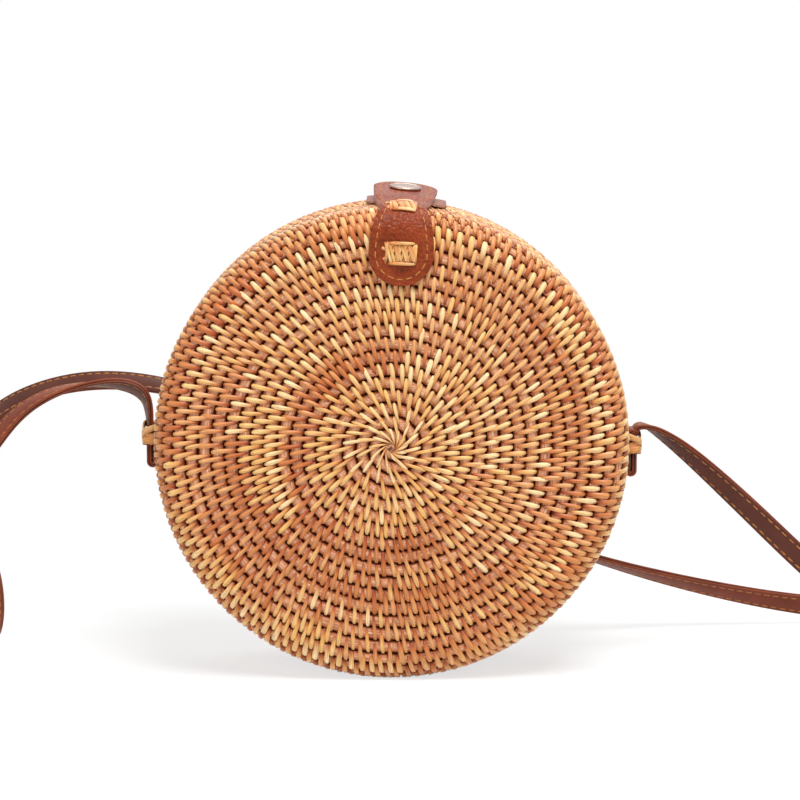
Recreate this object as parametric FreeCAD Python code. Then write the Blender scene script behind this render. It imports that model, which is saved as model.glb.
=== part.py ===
import FreeCAD, Part
import math
import os

V = FreeCAD.Vector
os.makedirs("parts", exist_ok=True)

# Woven body: two bowls of coiled rattan, mouth to mouth, on one axis along Y
bag_radius = 100.0
half_depth = 36.0
rim_rounding = 11.0
rim_bands = 6
inner_rim_bands = 3
bowl_sides = 52
wall = 4.5
mouth_gap = 0.3
mouth_coil = 5.4
coil_sides = 8
coil_seat = 0.05
foot_width = 26.0

# Ribs that the coils raise on each bowl; one rib stands for two rounds of the coil
coil_ribs = 11
coil_groove = 2.0
knot_share = 0.3

# Cotton lining of each bowl
lining_cloth = 0.8
lining_seat = 0.15
lining_hem = 1.6

# Rattan lacing that hinges the bowls at the bottom
lacing_width = 8.0
lacing_thickness = 0.8
lacing_seat = 0.4
lacing_turn_deg = 17.3

# Leather closure tab, sewn to the front bowl and buttoned over the mouth
leather = 1.6
leather_seat = 0.15
tab_turn_deg = 2.8
tab_width = 27.0
tab_neck_width = 20.8
tab_hem_width = 23.1
tab_neck_inset = 3.5
tab_drop = 32.0
tab_hinge_y = -14.0
tab_hinge_gap = 0.3

# Free rear part of the tab, which lifts
flap_end_inset = 11.0
flap_end_width = 28.0
flap_round_share = 0.44
flap_step_y = -8.5
flap_clearance = 0.4
flap_slope_deg = 5.8

# Leather keeper patch on the rear bowl, which carries the snap's stud
keeper_turn_deg = 3.6
keeper_width = 34.0
keeper_front_y = -8.0
keeper_end_inset = 3.0
keeper_corner = 5.0
keeper_leather = 1.0
keeper_lift = 0.5

# Snap fastener
snap_inset = 26.5
cap_radius = 6.85
cap_height = 1.3
cap_edge = 0.45
snap_shank_radius = 2.0
snap_hole_clearance = 0.05
snap_seat = 0.02
socket_radius = 6.2
socket_thickness = 0.55
stud_flange_radius = 5.8
stud_flange = 0.35
stud_head_radius = 3.2
stud_head = 0.65
post_radius = 5.0
post_flange = 0.2

# Cross stitches of split rattan that sew the leather to the weave
rattan = 1.1
rattan_seat = 0.05
rattan_strip = 1.6
front_stitch_width = 13.0
front_stitch_height = 9.5
front_stitch_drop = 18.4
top_stitch_width = 11.5
top_stitch_height = 9.5
top_stitch_angle_deg = 72.0
stitch_crosses = 3

# Two-ply leather strap and its folded ends, bound to the rear bowl's side wall
strap_width = 10.0
strap_thickness = 2.2
strap_fold_gap = 0.7
strap_end_seat = 0.3
strap_end_y = 9.0
strap_end_drop = 11.0
strap_end_rise = 6.0
strap_exit_rise = 3.0
left_lug_drop = 1.0
right_lug_drop = 5.0
tie_height = 9.0
tie_thickness = 1.4
tie_seat = 0.2
tie_corner = 1.0

# The strap's route below was laid for a bag of this radius and grows with the bag
route_bag_radius = 100.0

# One overrun serves every cut and every intersecting prism
overrun = 5.0

axis_height = math.sqrt(bag_radius ** 2 - (foot_width / 2) ** 2)
corner_radius = bag_radius - rim_rounding
corner_y = half_depth - rim_rounding
coil_end = mouth_gap / 2 + mouth_coil
bowl_mouth = coil_end + coil_seat
rim_end = corner_radius + rim_rounding * math.pi / 2
tab_tip_radius = bag_radius - tab_drop
tab_neck_y = tab_neck_inset - half_depth
flap_end_y = half_depth - flap_end_inset
keeper_back_y = half_depth - keeper_end_inset
rib_pitch = 2 * (rim_end + corner_y - bowl_mouth) / (2 * coil_ribs + 1)
knot_radius = knot_share * rib_pitch
snap_y = half_depth - snap_inset
front_stitch_radius = bag_radius - front_stitch_drop
bag_axis = V(0, 1, 0)
bag_centre = V(0, 0, axis_height)


def save(shape, name):
    shape.exportStep("parts/" + name + ".step")


def polygon_face(points):
    """Flat face inside a closed outline of points."""
    return Part.Face(Part.makePolygon(points + points[:1]))


def polygon_prism(points, reach):
    """Prism of a closed outline of points, pushed along the vector reach."""
    return polygon_face(points).extrude(reach)


def spun(outline, closed):
    """Solid of an outline of (radius, depth) points carried round the bag's axis in flat facets.

    An open outline starts and ends near the axis, where flat caps close it."""
    rings = []
    for radius, depth in outline:
        ring = []
        for index in range(bowl_sides):
            angle = 2 * math.pi * index / bowl_sides
            ring.append(V(radius * math.sin(angle), depth, axis_height + radius * math.cos(angle)))
        rings.append(ring)
    pairs = list(zip(rings, rings[1:]))
    if closed:
        pairs.append((rings[-1], rings[0]))
        faces = []
    else:
        faces = [polygon_face(rings[0]), polygon_face(rings[-1])]
    for low, high in pairs:
        for index in range(bowl_sides):
            faces.append(polygon_face([low[index - 1], low[index], high[index], high[index - 1]]))
    solid = Part.Solid(Part.Shell(faces))
    if solid.Volume < 0:
        solid.reverse()
    return solid


def on_weave(length, offset):
    """Radius and depth at a length from the disc's middle out over the rim and along the wall, raised by offset."""
    lean = min(max((length - corner_radius) / rim_rounding, 0), math.pi / 2)
    turn = rim_rounding + offset
    radius = min(length, corner_radius) + turn * math.sin(lean)
    return radius, corner_y + turn * math.cos(lean) - max(length - rim_end, 0)


def smooth_side(offset, mouth):
    """Outline of a smooth side of a bowl, from its middle out to a mouth at a depth."""
    lengths = [corner_radius + (rim_end - corner_radius) * index / inner_rim_bands for index in range(inner_rim_bands + 1)]
    lengths = [knot_radius] + lengths + [rim_end + corner_y - mouth]
    return [on_weave(length, offset) for length in lengths]


def ribbed_side():
    """Outline of the woven side of a bowl, from its middle out to its mouth: a flat knot, then groove after crest."""
    outline = [on_weave(knot_radius, 0)]
    for index in range(coil_ribs + 1):
        if index > 0:
            outline.append(on_weave(index * rib_pitch, 0))
        outline.append(on_weave((2 * index + 1) * rib_pitch / 2, -coil_groove))
    return outline


def bowl_layer(inner, outer, mouth, side, low_radius, sweep_deg):
    """Layer over part of a bowl between two offsets from its crests; side is -1 at the front and 1 at the rear.

    The rim is rounded in narrow flat bands, as its coils round it."""

    def at(radius, y):
        return V(0, side * y, radius)

    def rim(offset):
        turn = rim_rounding + offset
        angles = [math.radians(90.0 * index / rim_bands) for index in range(rim_bands + 1)]
        return [at(corner_radius + turn * math.cos(angle), corner_y + turn * math.sin(angle)) for angle in angles]

    outline = [at(bag_radius + outer, mouth)]
    outline += rim(outer)
    outline.append(at(low_radius, half_depth + outer))
    outline.append(at(low_radius, half_depth + inner))
    outline += reversed(rim(inner))
    outline.append(at(bag_radius + inner, mouth))
    face = polygon_face(outline)
    face.rotate(V(0, 0, 0), bag_axis, -sweep_deg / 2)
    layer = face.revolve(V(0, 0, 0), bag_axis, sweep_deg)
    layer.translate(bag_centre)
    return layer


def turned(shape, angle_deg):
    """The shape turned about the bag's axis, from the top towards +X."""
    copy = shape.copy()
    copy.rotate(bag_centre, bag_axis, angle_deg)
    return copy


# Two bowls with their mouth coils and linings
foot_size = 2 * (bag_radius + overrun)
foot_block = Part.makeBox(foot_size, foot_size, overrun, V(-foot_size / 2, -foot_size / 2, -overrun))


def lacing_block(seat):
    """Outer block of one lacing at the bottom of the bag, grown by seat on every side."""
    half_y = coil_end + lacing_seat + lacing_thickness + seat
    low = bag_radius + lacing_seat + lacing_thickness + seat
    high = bag_radius - mouth_coil - lacing_seat - lacing_thickness - seat
    half_x = lacing_width / 2 + seat
    corner = V(-half_x, -half_y, axis_height - low)
    return Part.makeBox(2 * half_x, 2 * half_y, low - high, corner)


lacing_slots = [turned(lacing_block(lacing_seat), turn) for turn in (-lacing_turn_deg, lacing_turn_deg)]
coil_radius = mouth_coil / 2
coil_outline = []
for index in range(coil_sides):
    angle = 2 * math.pi * (index + 1 / 2) / coil_sides
    reach = coil_radius / math.cos(math.pi / coil_sides)
    coil_outline.append((bag_radius - coil_radius + reach * math.sin(angle), coil_end - coil_radius + reach * math.cos(angle)))
rear_coil = spun(coil_outline, True).cut(foot_block)
rear_bowl = spun(smooth_side(-wall, bowl_mouth) + ribbed_side()[::-1], False).cut(foot_block)
lining_outside = -wall - lining_seat
lining_mouth = bowl_mouth + lining_hem
lining_inner = smooth_side(lining_outside - lining_cloth, lining_mouth)
rear_lining = spun(lining_inner + smooth_side(lining_outside, lining_mouth)[::-1], False)
for slot in lacing_slots:
    rear_bowl = rear_bowl.cut(slot)
for name, rear_piece in (("shell", rear_bowl), ("mouth_coil", rear_coil), ("lining", rear_lining)):
    save(rear_piece, "rear_" + name)
    save(rear_piece.mirror(V(0, 0, 0), bag_axis), "front_" + name)

# Two lacings, each a flat ring of rattan round both mouth coils
inner_half_y = coil_end + lacing_seat
inner_low = bag_radius + lacing_seat
inner_high = bag_radius - mouth_coil - lacing_seat
lacing_hole = Part.makeBox(
    lacing_width + 2 * overrun,
    2 * inner_half_y,
    inner_low - inner_high,
    V(-lacing_width / 2 - overrun, -inner_half_y, axis_height - inner_low),
)
lacing = lacing_block(0).cut(lacing_hole)
save(turned(lacing, lacing_turn_deg), "left_hinge_lacing")
save(turned(lacing, -lacing_turn_deg), "right_hinge_lacing")

# Closure tab: a leather layer over the front rim, cut to the tab's outline from above and from the front
tab_top = bag_radius + leather_seat + leather
tab_sweep_deg = 4 * math.degrees(math.asin(tab_width / 2 / bag_radius))
tab_skin = bowl_layer(leather_seat, leather_seat + leather, -tab_hinge_y - overrun, -1,
                      tab_tip_radius - overrun, tab_sweep_deg)
tab_front_y = -half_depth - leather_seat - leather - overrun
tab_end_y = tab_hinge_y - tab_hinge_gap / 2
tab_side = [
    (tab_hem_width / 2, tab_end_y),
    (tab_neck_width / 2, tab_neck_y),
    (tab_width / 2, -half_depth),
    (tab_width / 2, tab_front_y),
]
tab_plan = [V(x, y, 0) for x, y in tab_side] + [V(-x, y, 0) for x, y in reversed(tab_side)]
tab_above = polygon_prism(tab_plan, V(0, 0, axis_height + tab_top + overrun))
tip_y = tab_front_y - overrun
tip_half = tab_width / 2 + overrun
tip_arc_z = axis_height + tab_tip_radius + tab_width / 2
tip_top = axis_height + tab_top + overrun
tip_reach = V(0, tab_end_y - tip_y + overrun, 0)
tip_disc = Part.makeCylinder(tab_width / 2, tip_reach.Length, V(0, tip_y, tip_arc_z), bag_axis)
tip_block = Part.makeBox(2 * tip_half, tip_reach.Length, tip_top - tip_arc_z, V(-tip_half, tip_y, tip_arc_z))
closure_tab = tab_skin.common(tab_above).common(tip_disc.fuse(tip_block))
save(turned(closure_tab, tab_turn_deg), "closure_tab")

# Flap: the tab's free end steps up over the keeper and runs back over the mouth to the snap
flap_start_y = tab_hinge_y + tab_hinge_gap / 2
keeper_top = axis_height + bag_radius + keeper_lift + keeper_leather
flap_rise = math.tan(math.radians(flap_slope_deg))


def flap_underside(y):
    return keeper_top + flap_clearance + (y - flap_step_y) * flap_rise


flap_low = axis_height + bag_radius + leather_seat
top_step_y = flap_step_y - leather / 2
flap_profile = [
    V(0, flap_start_y, flap_low),
    V(0, flap_step_y, flap_underside(flap_step_y)),
    V(0, flap_end_y, flap_underside(flap_end_y)),
    V(0, flap_end_y, flap_underside(flap_end_y) + leather),
    V(0, top_step_y, flap_underside(top_step_y) + leather),
    V(0, flap_start_y, flap_low + leather),
]
flap_body = polygon_prism(flap_profile, V(flap_end_width, 0, 0))
flap_body.translate(V(-flap_end_width / 2, 0, 0))
flap_plan = [
    V(-tab_hem_width / 2, flap_start_y, 0),
    V(tab_hem_width / 2, flap_start_y, 0),
    V(flap_end_width / 2, flap_end_y, 0),
    V(-flap_end_width / 2, flap_end_y, 0),
]
flap_above = polygon_prism(flap_plan, V(0, 0, axis_height + tab_top + 2 * overrun))
flap_corners = [
    edge for edge in flap_above.Edges
    if abs(edge.Vertexes[0].X - edge.Vertexes[-1].X) + abs(edge.Vertexes[0].Y - edge.Vertexes[-1].Y) < mouth_gap
    and edge.CenterOfMass.y > 0
]
tab_flap = flap_body.common(flap_above.makeFillet(flap_round_share * flap_end_width, flap_corners))


def lathe(points, base, tilt_deg):
    """Turned piece from an outline of (radius, height) points, stood on base and tipped forward."""
    outline = [V(radius, 0, height) for radius, height in points]
    piece = polygon_face(outline).revolve(V(0, 0, 0), V(0, 0, 1), 360)
    piece.rotate(V(0, 0, 0), V(1, 0, 0), tilt_deg)
    piece.translate(base)
    return piece


# Snap: cap with its shank and socket on the flap, stud and post on the keeper
cap_base = V(0, snap_y, flap_underside(snap_y) + leather)
socket_gap = socket_thickness + snap_seat
cap_outline = [
    (0, -leather - snap_seat),
    (snap_shank_radius, -leather - snap_seat),
    (snap_shank_radius, snap_seat),
    (cap_radius, snap_seat),
    (cap_radius, cap_height - cap_edge),
    (cap_radius - cap_edge, cap_height),
    (0, cap_height),
]
socket_outline = [
    (0, -leather - snap_seat),
    (0, -leather - socket_gap),
    (socket_radius - cap_edge, -leather - socket_gap),
    (socket_radius, -leather - socket_gap + cap_edge),
    (socket_radius, -leather - snap_seat),
]
hole_radius = snap_shank_radius + snap_hole_clearance
hole_outline = [(0, -leather - overrun), (hole_radius, -leather - overrun), (hole_radius, overrun), (0, overrun)]
tab_flap = tab_flap.cut(lathe(hole_outline, cap_base, flap_slope_deg))
save(turned(tab_flap, tab_turn_deg), "tab_flap")
save(turned(lathe(cap_outline, cap_base, flap_slope_deg), tab_turn_deg), "snap_cap")
save(turned(lathe(socket_outline, cap_base, flap_slope_deg), tab_turn_deg), "snap_socket")

stud_base = V(0, snap_y, keeper_top)
post_crown = bag_radius + keeper_lift - math.sqrt((bag_radius + keeper_lift) ** 2 - post_radius ** 2)
post_top = -keeper_leather - post_crown - snap_seat
stud_outline = [
    (snap_shank_radius + snap_hole_clearance, snap_seat),
    (stud_flange_radius, snap_seat),
    (stud_flange_radius, stud_flange),
    (stud_head_radius, stud_flange),
    (stud_head_radius, stud_flange + stud_head),
    (0, stud_flange + stud_head),
    (0, stud_flange),
    (snap_shank_radius + snap_hole_clearance, stud_flange),
]
post_outline = [
    (0, post_top - post_flange),
    (post_radius, post_top - post_flange),
    (post_radius, post_top),
    (snap_shank_radius, post_top),
    (snap_shank_radius, stud_flange - snap_seat),
    (0, stud_flange - snap_seat),
]
save(turned(lathe(stud_outline, stud_base, 0), tab_turn_deg), "snap_stud")
save(turned(lathe(post_outline, stud_base, 0), tab_turn_deg), "stud_post")

# Keeper patch: leather from over the mouth, along the top wall and round the rear rim
keeper_sweep_deg = 4 * math.degrees(math.asin(keeper_width / 2 / bag_radius))
keeper_skin = bowl_layer(keeper_lift, keeper_lift + keeper_leather, keeper_front_y - overrun, 1,
                         corner_radius - overrun, keeper_sweep_deg)
keeper_plan = Part.makeBox(
    keeper_width,
    keeper_back_y - keeper_front_y,
    axis_height + bag_radius + overrun,
    V(-keeper_width / 2, keeper_front_y, 0),
)
keeper_corners = [edge for edge in keeper_plan.Edges if edge.Vertexes[0].Z != edge.Vertexes[-1].Z]
keeper_above = keeper_plan.makeFillet(keeper_corner, keeper_corners)
stud_hole = turned(lathe(hole_outline, stud_base, 0), tab_turn_deg)
keeper_patch = turned(keeper_skin.common(keeper_above), keeper_turn_deg).cut(stud_hole)
save(keeper_patch, "keeper_patch")


def cross_stitch(leather_top, width, height, radius, y, angle_deg, side):
    """Row of crossed rattan strips between two bars, lying on the leather; the angle is its lean from upright."""
    half_width = width / 2
    half_height = height / 2
    deep = V(0, 4 * rattan, 0)

    def strip(start, end):
        along = V(end[0] - start[0], 0, end[1] - start[1]).normalize()
        across = V(-along.z, 0, along.x) * (rattan_strip / 2)
        first = V(start[0], -2 * rattan, start[1])
        last = V(end[0], -2 * rattan, end[1])
        return polygon_prism([first - across, last - across, last + across, first + across], deep)

    bar = half_height - rattan_strip / 2
    strips = [strip((-half_width, z), (half_width, z)) for z in (-bar, bar)]
    step = (width - rattan_strip) / stitch_crosses
    for index in range(stitch_crosses):
        left = -half_width + rattan_strip / 2 + index * step
        strips.append(strip((left, -bar), (left + step, bar)))
        strips.append(strip((left, bar), (left + step, -bar)))
    pattern = strips[0].multiFuse(strips[1:])
    pattern.rotate(V(0, 0, 0), V(1, 0, 0), -angle_deg)
    pattern.translate(V(0, -y, axis_height + radius))
    if side > 0:
        pattern = pattern.mirror(V(0, 0, 0), bag_axis)
    layer = bowl_layer(leather_top + rattan_seat, leather_top + rattan_seat + rattan, corner_y / 2, side,
                       corner_radius - rim_rounding - front_stitch_height, tab_sweep_deg)
    return layer.common(pattern).removeSplitter()


tab_leather_top = leather_seat + leather
front_stitch = cross_stitch(tab_leather_top, front_stitch_width, front_stitch_height,
                            front_stitch_radius, half_depth + tab_leather_top, 0, -1)
save(turned(front_stitch, tab_turn_deg), "tab_front_stitch")


def on_rim(offset):
    """Radius and depth of the point of the rim's rounding, raised by offset, where the top stitches sit."""
    angle = math.radians(top_stitch_angle_deg)
    turn = rim_rounding + offset
    return corner_radius + turn * math.sin(angle), corner_y + turn * math.cos(angle)


for name, offset, side, turn_deg in (
    ("tab_top_stitch", tab_leather_top, -1, tab_turn_deg),
    ("keeper_stitch", keeper_lift + keeper_leather, 1, keeper_turn_deg),
):
    radius, depth = on_rim(offset)
    stitch = cross_stitch(offset, top_stitch_width, top_stitch_height, radius, depth, top_stitch_angle_deg, side)
    save(turned(stitch, turn_deg), name)

# Folded strap ends and the rattan ties that bind them to the rear bowl's side walls
leg_in = bag_radius + strap_end_seat
leg_out = leg_in + strap_thickness + strap_fold_gap
fold_centre = leg_out - strap_fold_gap / 2
fold_inner = strap_fold_gap / 2
fold_outer = fold_inner + strap_thickness
strap_leg_x = leg_out + strap_thickness / 2
strap_ends = (("left", -1, left_lug_drop), ("right", 1, right_lug_drop))


def lug_height(drop):
    return axis_height - drop


for name, side, drop in strap_ends:
    lug_z = lug_height(drop)
    low = lug_z - strap_end_drop
    near_y = strap_end_y - strap_width / 2
    bend = Part.makeCylinder(fold_outer, strap_width, V(fold_centre, near_y, low), bag_axis)
    bend = bend.cut(Part.makeCylinder(fold_inner, strap_width, V(fold_centre, near_y, low), bag_axis))
    upper_half = Part.makeBox(2 * fold_outer, strap_width, fold_outer, V(fold_centre - fold_outer, near_y, low))
    bend = bend.cut(upper_half)
    inner_leg = Part.makeBox(strap_thickness, strap_width, strap_end_drop + strap_end_rise, V(leg_in, near_y, low))
    outer_leg = Part.makeBox(strap_thickness, strap_width, strap_end_drop + strap_exit_rise, V(leg_out, near_y, low))
    folded = bend.fuse(inner_leg).fuse(outer_leg).removeSplitter()
    tie_half = strap_width / 2 + tie_seat + tie_thickness
    tie_out = leg_out + strap_thickness + tie_seat + tie_thickness
    tie_low = lug_z - tie_height / 2
    tie = Part.makeBox(tie_out - bag_radius, 2 * tie_half, tie_height,
                       V(bag_radius, strap_end_y - tie_half, tie_low))
    outer_edges = [edge for edge in tie.Edges
                   if edge.Vertexes[0].Z != edge.Vertexes[-1].Z and edge.CenterOfMass.x > strap_leg_x]
    tie = tie.makeFillet(tie_corner, outer_edges)
    tie = tie.cut(Part.makeBox(
        tie_out - tie_thickness - bag_radius + overrun,
        strap_width + 2 * tie_seat,
        tie_height + 2 * overrun,
        V(bag_radius - overrun, near_y - tie_seat, tie_low - overrun),
    ))
    wall_body = Part.makeCylinder(bag_radius + rattan_seat, half_depth, V(0, 0, axis_height), bag_axis)
    tie = tie.cut(wall_body)
    if side < 0:
        folded = folded.mirror(V(0, 0, 0), V(1, 0, 0))
        tie = tie.mirror(V(0, 0, 0), V(1, 0, 0))
    save(folded, name + "_strap_end")
    save(tie, name + "_tie")

# Strap: one flat ribbon from the left folded end round to the right one. Each row holds a point of the
# route and the way that the ribbon's width lies there; the floor is at zero height
left_exit = (-strap_leg_x, strap_end_y, lug_height(left_lug_drop) + strap_exit_rise)
right_exit = (strap_leg_x, strap_end_y, lug_height(right_lug_drop) + strap_exit_rise)
strap_route = [
    (left_exit, (0, 1, 0)),
    ((-104.3, 9.0, 110.0), (-0.3, 1, 0)),
    ((-107.5, 9.8, 117.0), (-0.35, 0.9, -0.2)),
    ((-116.5, 10.2, 120.4), (-0.15, 0.95, -0.3)),
    ((-131.0, 10.8, 120.2), (0, 1, -0.1)),
    ((-147.0, 11.6, 116.2), (-0.1, 0.95, 0.2)),
    ((-161.0, 12.6, 108.0), (-0.3, 0.85, 0.35)),
    ((-174.0, 14.0, 93.0), (-0.55, 0.7, 0.4)),
    ((-186.0, 16.0, 76.0), (-0.8, 0.5, 0.2)),
    ((-188.0, 18.0, 57.0), (-1, 0.2, 0)),
    ((-177.0, 20.0, 40.0), (-1, 0.1, 0)),
    ((-175.0, 24.0, 19.0), (-1, 0, 0)),
    ((-180.0, 40.0, 1.5), (-1, 0, 0)),
    ((-188.0, 63.0, 1.4), (-1, -0.3, 0)),
    ((-199.0, 85.0, 1.5), (-1, -0.4, 0)),
    ((-208.0, 103.0, 11.0), (-1, -0.2, 0)),
    ((-212.0, 111.0, 34.0), (-0.9, 0.3, 0)),
    ((-207.0, 111.0, 62.0), (-0.6, 0.8, 0.1)),
    ((-193.0, 104.0, 88.0), (-0.3, 0.75, 0.5)),
    ((-167.0, 91.0, 105.6), (0, 0.65, 0.75)),
    ((-131.0, 75.0, 114.6), (0, 0.75, 0.65)),
    ((-90.0, 59.0, 111.0), (0, 0.85, 0.5)),
    ((-45.0, 48.5, 94.0), (0, 0.3, 0.95)),
    ((0, 45.0, 73.0), (0, 0, 1)),
    ((46.0, 46.5, 52.5), (0, 0.3, 0.95)),
    ((90.0, 56.0, 34.6), (0, 0.85, 0.55)),
    ((136.0, 68.0, 20.0), (0, 0.6, 0.8)),
    ((182.0, 76.0, 9.5), (0, 0.3, 0.95)),
    ((222.0, 78.0, 5.4), (0, 0, 1)),
    ((250.0, 62.0, 5.4), (0, 0, 1)),
    ((254.0, 36.0, 5.4), (0, 0, 1)),
    ((238.0, 16.0, 5.8), (-0.2, 0, 1)),
    ((212.0, 9.0, 13.0), (-0.3, -0.2, 0.9)),
    ((180.0, 9.0, 41.0), (0.6, 0.1, 0.75)),
    ((150.0, 9.4, 70.0), (0.6, 0.3, 0.7)),
    ((128.0, 9.6, 90.0), (0.5, 0.6, 0.6)),
    ((115.0, 9.4, 99.5), (0.3, 0.9, 0.3)),
    ((108.0, 9.2, 102.6), (0, 1, 0)),
    ((104.3, 9.0, 101.0), (0, 1, 0)),
    (right_exit, (0, 1, 0)),
]
arc_share = 0.45
section_turn_deg = 12.0


def rounded_route():
    """Stations (point, direction, length so far) along the route, with a tangent arc at every corner."""
    grown = bag_radius / route_bag_radius
    points = [V(x * grown, y, z * grown) for (x, y, z), lean in strap_route]
    points[0] = V(*left_exit)
    points[-1] = V(*right_exit)
    stations = []
    knots = [0.0]
    radii = []
    travelled = 0.0
    here = points[0]
    first = (points[1] - points[0]).normalize()
    stations.append((here, first, travelled))
    for before, corner, after in zip(points, points[1:], points[2:]):
        run_in = corner - before
        run_out = after - corner
        reach = arc_share * min(run_in.Length, run_out.Length)
        way_in = V(run_in).normalize()
        way_out = V(run_out).normalize()
        turn = way_in.getAngle(way_out)
        radius = reach / math.tan(turn / 2)
        radii.append(radius)
        start = corner - way_in * reach
        hub_way = (way_out - way_in).normalize()
        hub = corner + hub_way * (radius / math.cos(turn / 2))
        spin = way_in.cross(way_out).normalize()
        travelled += start.distanceToPoint(here)
        knots.append(travelled + radius * turn / 2)
        count = max(1, math.ceil(math.degrees(turn) / section_turn_deg))
        for index in range(count + 1):
            turned_by = FreeCAD.Rotation(spin, math.degrees(turn) * index / count)
            here = hub + turned_by.multVec(start - hub)
            stations.append((here, turned_by.multVec(way_in), travelled + radius * turn * index / count))
        travelled += radius * turn
    travelled += points[-1].distanceToPoint(here)
    last = (points[-1] - points[-2]).normalize()
    stations.append((points[-1], last, travelled))
    knots.append(travelled)
    return stations, knots, radii


def lean_at(length, knots):
    """Way of the ribbon's width at a length along it, turning evenly from corner to corner."""
    for index in range(len(knots) - 1):
        if length <= knots[index + 1]:
            break
    share = (length - knots[index]) / (knots[index + 1] - knots[index])
    low = V(*strap_route[index][1]).normalize()
    high = V(*strap_route[index + 1][1]).normalize()
    return low * (1 - share) + high * share


stations, knots, radii = rounded_route()
sections = []
for place, way, length in stations:
    lean = lean_at(length, knots)
    across = (lean - way * lean.dot(way)).normalize() * (strap_width / 2)
    through = way.cross(across).normalize() * (strap_thickness / 2)
    corners = [place - across - through, place + across - through, place + across + through, place - across + through]
    sections.append(Part.makePolygon(corners + corners[:1]))
strap = Part.makeLoft(sections, True, True)
strap_length = knots[-1]
print("strap length", round(strap_length, 1), "radii", [round(radius, 1) for radius in radii])
print("strap volume", round(strap.Volume, 1), "section times length", round(strap_width * strap_thickness * strap_length, 1))
print("strap valid", strap.isValid(), "lowest", round(strap.BoundBox.ZMin, 2))
save(strap, "strap")
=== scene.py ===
import math
import random

import bmesh
import bpy
from mathutils import Matrix, Vector


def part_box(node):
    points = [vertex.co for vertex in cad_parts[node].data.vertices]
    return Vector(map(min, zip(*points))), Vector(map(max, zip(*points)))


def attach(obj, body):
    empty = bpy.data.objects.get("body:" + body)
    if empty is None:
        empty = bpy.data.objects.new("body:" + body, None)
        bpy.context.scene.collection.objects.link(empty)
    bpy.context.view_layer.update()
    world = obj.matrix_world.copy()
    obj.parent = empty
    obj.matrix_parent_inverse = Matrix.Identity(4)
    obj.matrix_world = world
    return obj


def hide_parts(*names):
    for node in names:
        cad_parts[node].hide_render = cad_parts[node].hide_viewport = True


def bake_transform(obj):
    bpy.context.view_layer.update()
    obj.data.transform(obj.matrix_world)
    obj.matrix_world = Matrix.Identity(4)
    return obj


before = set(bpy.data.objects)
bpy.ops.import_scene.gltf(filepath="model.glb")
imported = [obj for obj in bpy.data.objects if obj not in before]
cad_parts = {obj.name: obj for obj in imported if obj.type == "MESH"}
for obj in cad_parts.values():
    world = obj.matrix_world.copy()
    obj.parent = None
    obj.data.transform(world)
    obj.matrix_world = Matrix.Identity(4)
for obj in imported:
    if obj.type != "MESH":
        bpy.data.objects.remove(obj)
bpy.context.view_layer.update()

# Coiled bowls: each half of the bag is one long bundle of dried grass, wound from the middle of its disc,
# over the rim and along the side wall to the mouth. The last turn tapers out under a separate round coil at
# the mouth.
mm = 0.001
scene = bpy.context.scene
weld_gap = 0.005 * mm
coarse_weld = 0.01 * mm
shell_low, shell_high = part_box("front_shell")
mouth_low, mouth_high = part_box("front_mouth_coil")
bag_radius = shell_high[0]
half_depth = -shell_low[1]
axis_height = shell_high[2] - bag_radius
rim_rounding = 11 * mm
mouth_radius = (mouth_high[1] - mouth_low[1]) / 2
mouth_depth = -mouth_low[1]
disc_end = bag_radius - rim_rounding
rim_end = disc_end + rim_rounding * math.pi / 2
wall_end = rim_end + half_depth - rim_rounding - mouth_depth
mouth_start = wall_end + mouth_radius
coil_turns = 23
coil_pitch = wall_end / coil_turns
coil_sink = 0.85 * mm
coil_groove = 2.0 * mm
coil_steps = (0, 0.06, 0.22, 0.5, 0.78, 0.94)
bowl_segments = 192
mouth_sides = 14
mouth_segments = 160
# place of the mouth coil on the grass's painted groove shade
mouth_shade = 0.3
wall_thickness = 1.7 * mm
seam_angle = -math.pi / 2
bowls = (("front", 1), ("rear", -1))


def bowl_profile(length):
    """Radius, depth and lean of the woven surface at a length from the disc's middle."""
    lean = min(max((length - disc_end) / rim_rounding, 0), math.pi / 2)
    radius = min(length, disc_end) + rim_rounding * math.sin(lean)
    depth = half_depth - rim_rounding * (1 - math.cos(lean)) - max(length - rim_end, 0)
    return radius, depth, lean


def on_bowl(length, angle, lift, facing):
    """Point over the weave, by its length from the disc's middle, its angle round the bag and its lift.

    Facing is 1 for the front bowl and -1 for the rear one, which is the same bowl turned round. Lengths
    past the wall go round the mouth coil. The foot is pressed flat on the floor."""
    radius, depth, lean = bowl_profile(length)
    if length > mouth_start:
        lean = math.pi / 2 + (length - mouth_start) / mouth_radius
        radius = bag_radius - mouth_radius + mouth_radius * math.sin(lean)
        depth = mouth_depth - mouth_radius + mouth_radius * math.cos(lean)
    radius += lift * math.sin(lean)
    depth += lift * math.cos(lean)
    height = max(axis_height + radius * math.sin(angle), 0)
    return Vector((facing * radius * math.cos(angle), -facing * depth, height))


def show(bm, name, material):
    """Object of a finished bmesh in the scene, with its material."""
    mesh = bpy.data.meshes.new(name)
    bm.to_mesh(mesh)
    bm.free()
    mesh.materials.append(material)
    shown = bpy.data.objects.new(name, mesh)
    scene.collection.objects.link(shown)
    return shown


def place_piece(bm, name, material, body):
    """Smooth object of a finished bmesh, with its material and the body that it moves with."""
    piece = show(bm, name, material)
    piece.data.shade_smooth()
    if body:
        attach(piece, body)
    return piece


def linear(hex_colour):
    """Linear colour of an sRGB hex value."""
    shares = [int(hex_colour[index:index + 2], 16) / 255 for index in (1, 3, 5)]
    return [c / 12.92 if c <= 0.04045 else ((c + 0.055) / 1.055) ** 2.4 for c in shares] + [1.0]


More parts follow.
